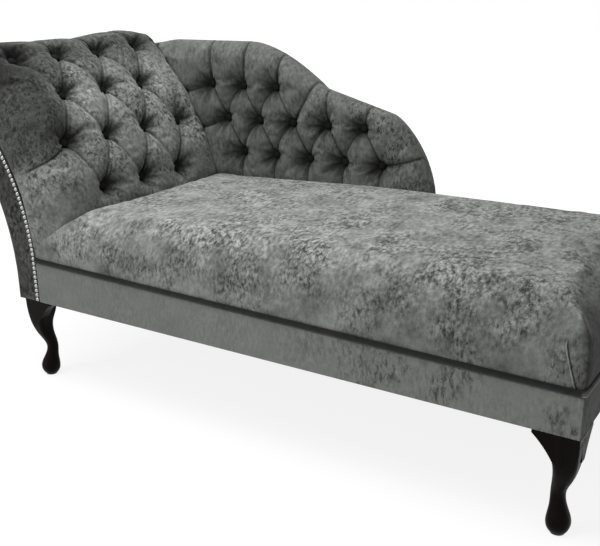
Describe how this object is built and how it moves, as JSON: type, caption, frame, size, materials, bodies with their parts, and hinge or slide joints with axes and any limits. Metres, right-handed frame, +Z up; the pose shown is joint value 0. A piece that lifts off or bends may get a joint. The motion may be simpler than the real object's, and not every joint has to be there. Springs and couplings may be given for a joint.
{
  "type": "chaise longue",
  "caption": "Chaise longue with a deep-buttoned scrolled head, serpentine buttoned back, crowned seat pad, piped base and cabriole legs, upholstered in grey crushed velvet",
  "frame": {"origin": "middle of the footprint on the floor", "axes": "X from the head to the foot end, Y from the open front to the back, Z up"},
  "size_m": [1.556, 0.6388, 0.7977],
  "materials": {
    "velvet": "crushed velvet, mottled grey",
    "piping": "velvet covered cord",
    "leg_wood": "dark mahogany stain, satin",
    "frame_wood": "raw beech and plywood",
    "webbing": "jute webbing",
    "hessian": "hessian",
    "dust_cloth": "black non-woven cloth",
    "nail_metal": "bright nickel",
    "steel": "zinc plated",
    "glide_plastic": "moulded"
  },
  "bodies": {
    "root": {"seat_pad": "velvet", "head_pad": "velvet", "back_pad": "velvet", "head_buttons": "velvet", "back_buttons": "velvet", "head_front_facing": "velvet", "head_rear_facing": "velvet", "head_outside_cover": "velvet", "back_outside_cover": "velvet", "base_front_cover": "velvet", "base_rear_cover": "velvet", "base_foot_cover": "velvet", "seat_piping": "piping", "front_head_leg": "leg_wood", "rear_head_leg": "leg_wood", "front_foot_leg": "leg_wood", "rear_foot_leg": "leg_wood", "front_seat_rail": "frame_wood", "rear_seat_rail": "frame_wood", "head_seat_rail": "frame_wood", "foot_seat_rail": "frame_wood", "corner_posts": "frame_wood", "seat_cross_rails": "frame_wood", "head_front_scroll": "frame_wood", "head_rear_scroll": "frame_wood", "head_roll_tube": "frame_wood", "head_support_panel": "frame_wood", "head_middle_rail": "frame_wood", "back_board": "frame_wood", "cross_straps": "webbing", "long_straps": "webbing", "seat_hessian": "hessian", "dust_cover": "dust_cloth", "facing_nails": "nail_metal", "back_bolts": "steel", "hanger_bolts": "steel", "front_head_glide": "glide_plastic", "rear_head_glide": "glide_plastic", "front_foot_glide": "glide_plastic", "rear_foot_glide": "glide_plastic"}
  },
  "joints": []
}
